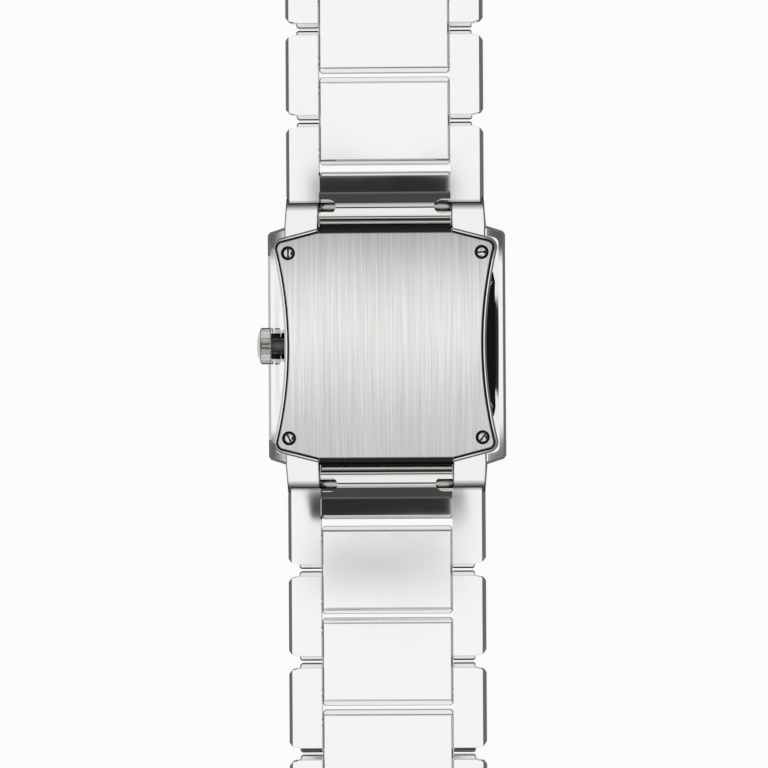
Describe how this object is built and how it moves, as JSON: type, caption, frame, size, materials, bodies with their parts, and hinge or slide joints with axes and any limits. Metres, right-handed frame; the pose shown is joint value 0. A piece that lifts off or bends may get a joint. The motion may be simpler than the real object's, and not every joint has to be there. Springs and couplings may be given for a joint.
{
  "type": "rectangular wristwatch",
  "caption": "Rectangular steel quartz wristwatch lying face down, with waisted screwed case back, fluted crown and articulated link bracelet with folding clasp.",
  "frame": {"origin": "centre of the crystal's flat outer face, which is the lowest plane of the watch lying face down", "axes": "+Z out of the case back towards the wrist, +Y towards 12 o'clock along the straightened bracelet, crown at -X"},
  "size_m": [0.0263, 0.184, 0.0068],
  "materials": {
    "polished_steel": "mirror polished stainless steel",
    "brushed_back": "straight brushed stainless steel",
    "link_steel": "polished stainless steel",
    "blade_steel": "satin stainless steel",
    "pin_steel": "ground stainless steel",
    "screw_steel": "polished stainless steel",
    "crystal": "clear polished",
    "gasket": "matt",
    "dial": "satin silver paint",
    "hands": "polished",
    "movement_plastic": "moulded",
    "movement_brass": "plated, satin",
    "battery": "pressed steel",
    "board": "solder mask",
    "coil": "enamelled copper wire"
  },
  "bodies": {
    "case": {"case_middle": "polished_steel", "crystal": "crystal", "crystal_gasket": "gasket", "case_back": "brushed_back", "case_back_gasket": "gasket", "case_back_screws": "screw_steel", "crown_tube": "pin_steel", "dial": "dial", "hour_markers": "hands", "movement_ring": "movement_plastic", "movement_plate": "movement_brass", "train_bridge": "movement_brass", "battery_cell": "battery", "battery_strap": "blade_steel", "circuit_board": "board", "quartz_can": "battery", "motor_coil": "coil", "motor_stator": "blade_steel", "spring_bar_12": "pin_steel", "spring_bar_6": "pin_steel"},
    "setting_lever": {"setting_lever": "blade_steel"},
    "crown": {"crown": "polished_steel", "crown_stem": "pin_steel", "crown_seal": "gasket"},
    "minute_hand": {"minute_hand": "hands", "cannon_pinion": "movement_brass"},
    "hour_hand": {"hour_hand": "hands", "hour_wheel": "movement_brass"},
    "end_piece_12": {"end_link_12": "link_steel", "outer_links_12_1": "link_steel"},
    "centre_12_1": {"centre_link_12_1": "link_steel"},
    "outer_12_2": {"outer_links_12_2": "link_steel"},
    "centre_12_2": {"centre_link_12_2": "link_steel"},
    "outer_12_3": {"outer_links_12_3": "link_steel"},
    "centre_12_3": {"centre_link_12_3": "link_steel"},
    "outer_12_4": {"outer_links_12_4": "link_steel"},
    "centre_12_4": {"centre_link_12_4": "link_steel"},
    "outer_12_5": {"outer_links_12_5": "link_steel"},
    "centre_12_5": {"centre_link_12_5": "link_steel"},
    "end_piece_6": {"end_link_6": "link_steel", "outer_links_6_1": "link_steel"},
    "centre_6_1": {"centre_link_6_1": "link_steel"},
    "outer_6_2": {"outer_links_6_2": "link_steel"},
    "centre_6_2": {"centre_link_6_2": "link_steel"},
    "outer_6_3": {"outer_links_6_3": "link_steel"},
    "centre_6_3": {"centre_link_6_3": "link_steel"},
    "outer_6_4": {"outer_links_6_4": "link_steel"},
    "centre_6_4": {"centre_link_6_4": "link_steel"},
    "outer_6_5": {"outer_links_6_5": "link_steel"},
    "centre_6_5": {"centre_link_6_5": "link_steel"},
    "clasp_cover": {"clasp_cover": "link_steel", "clasp_cover_pin": "pin_steel", "clasp_pivot_studs": "pin_steel"},
    "inner_blade": {"clasp_inner_blade": "blade_steel", "clasp_end_pin": "pin_steel"},
    "middle_blade": {"clasp_middle_blade": "blade_steel", "clasp_fold_pin": "pin_steel"}
  },
  "joints": [
    {"name": "crown_pull", "type": "slide", "parent": "case", "child": "setting_lever", "axis": [-1, 0, 0], "range_m": [0, 0.0008]},
    {"name": "crown_turn", "type": "hinge", "parent": "setting_lever", "child": "crown", "pos_m": [-0.0129, 0, 0.00405], "axis": [-1, 0, 0], "continuous": true},
    {"name": "minute_hand_turn", "type": "hinge", "parent": "case", "child": "minute_hand", "pos_m": [0, 0, 0.0015], "axis": [0, 0, 1], "continuous": true},
    {"name": "hour_hand_turn", "type": "hinge", "parent": "case", "child": "hour_hand", "pos_m": [0, 0, 0.0019], "axis": [0, 0, 1], "continuous": true},
    {"name": "end_piece_12_turn", "type": "hinge", "parent": "case", "child": "end_piece_12", "pos_m": [0, 0.01465, 0.0043], "axis": [1, 0, 0], "range_deg": [0, 17]},
    {"name": "centre_12_1_turn", "type": "hinge", "parent": "end_piece_12", "child": "centre_12_1", "pos_m": [0, 0.0204, 0.0043], "axis": [1, 0, 0], "range_deg": [0, 17]},
    {"name": "outer_12_2_turn", "type": "hinge", "parent": "centre_12_1", "child": "outer_12_2", "pos_m": [0, 0.027, 0.0043], "axis": [1, 0, 0], "range_deg": [0, 17]},
    {"name": "centre_12_2_turn", "type": "hinge", "parent": "outer_12_2", "child": "centre_12_2", "pos_m": [0, 0.0301, 0.0043], "axis": [1, 0, 0], "range_deg": [0, 17]},
    {"name": "outer_12_3_turn", "type": "hinge", "parent": "centre_12_2", "child": "outer_12_3", "pos_m": [0, 0.0367, 0.0043], "axis": [1, 0, 0], "range_deg": [0, 17]},
    {"name": "centre_12_3_turn", "type": "hinge", "parent": "outer_12_3", "child": "centre_12_3", "pos_m": [0, 0.0398, 0.0043], "axis": [1, 0, 0], "range_deg": [0, 17]},
    {"name": "outer_12_4_turn", "type": "hinge", "parent": "centre_12_3", "child": "outer_12_4", "pos_m": [0, 0.0464, 0.0043], "axis": [1, 0, 0], "range_deg": [0, 17]},
    {"name": "centre_12_4_turn", "type": "hinge", "parent": "outer_12_4", "child": "centre_12_4", "pos_m": [0, 0.0495, 0.0043], "axis": [1, 0, 0], "range_deg": [0, 17]},
    {"name": "outer_12_5_turn", "type": "hinge", "parent": "centre_12_4", "child": "outer_12_5", "pos_m": [0, 0.0561, 0.0043], "axis": [1, 0, 0], "range_deg": [0, 17]},
    {"name": "centre_12_5_turn", "type": "hinge", "parent": "outer_12_5", "child": "centre_12_5", "pos_m": [0, 0.0592, 0.0043], "axis": [1, 0, 0], "range_deg": [0, 17]},
    {"name": "end_piece_6_turn", "type": "hinge", "parent": "case", "child": "end_piece_6", "pos_m": [0, -0.01465, 0.0043], "axis": [-1, 0, 0], "range_deg": [0, 17]},
    {"name": "centre_6_1_turn", "type": "hinge", "parent": "end_piece_6", "child": "centre_6_1", "pos_m": [0, -0.0204, 0.0043], "axis": [-1, 0, 0], "range_deg": [0, 17]},
    {"name": "outer_6_2_turn", "type": "hinge", "parent": "centre_6_1", "child": "outer_6_2", "pos_m": [0, -0.027, 0.0043], "axis": [-1, 0, 0], "range_deg": [0, 17]},
    {"name": "centre_6_2_turn", "type": "hinge", "parent": "outer_6_2", "child": "centre_6_2", "pos_m": [0, -0.0301, 0.0043], "axis": [-1, 0, 0], "range_deg": [0, 17]},
    {"name": "outer_6_3_turn", "type": "hinge", "parent": "centre_6_2", "child": "outer_6_3", "pos_m": [0, -0.0367, 0.0043], "axis": [-1, 0, 0], "range_deg": [0, 17]},
    {"name": "centre_6_3_turn", "type": "hinge", "parent": "outer_6_3", "child": "centre_6_3", "pos_m": [0, -0.0398, 0.0043], "axis": [-1, 0, 0], "range_deg": [0, 17]},
    {"name": "outer_6_4_turn", "type": "hinge", "parent": "centre_6_3", "child": "outer_6_4", "pos_m": [0, -0.0464, 0.0043], "axis": [-1, 0, 0], "range_deg": [0, 17]},
    {"name": "centre_6_4_turn", "type": "hinge", "parent": "outer_6_4", "child": "centre_6_4", "pos_m": [0, -0.0495, 0.0043], "axis": [-1, 0, 0], "range_deg": [0, 17]},
    {"name": "outer_6_5_turn", "type": "hinge", "parent": "centre_6_4", "child": "outer_6_5", "pos_m": [0, -0.0561, 0.0043], "axis": [-1, 0, 0], "range_deg": [0, 17]},
    {"name": "centre_6_5_turn", "type": "hinge", "parent": "outer_6_5", "child": "centre_6_5", "pos_m": [0, -0.0592, 0.0043], "axis": [-1, 0, 0], "range_deg": [0, 17]},
    {"name": "clasp_cover_turn", "type": "hinge", "parent": "centre_6_5", "child": "clasp_cover", "pos_m": [0, -0.0658, 0.0043], "axis": [-1, 0, 0], "range_deg": [0, 10]},
    {"name": "inner_blade_turn", "type": "hinge", "parent": "centre_12_5", "child": "inner_blade", "pos_m": [0, 0.0658, 0.0043], "axis": [1, 0, 0], "range_deg": [0, 10]},
    {"name": "middle_blade_fold", "type": "hinge", "parent": "inner_blade", "child": "middle_blade", "pos_m": [0, 0.08846, 0.00382], "axis": [-1, 0, 0], "range_deg": [-175, 0]}
  ],
  "couplings": [
    {"joint": "hour_hand_turn", "follows": "minute_hand_turn", "ratio": 0.083333}
  ]
}
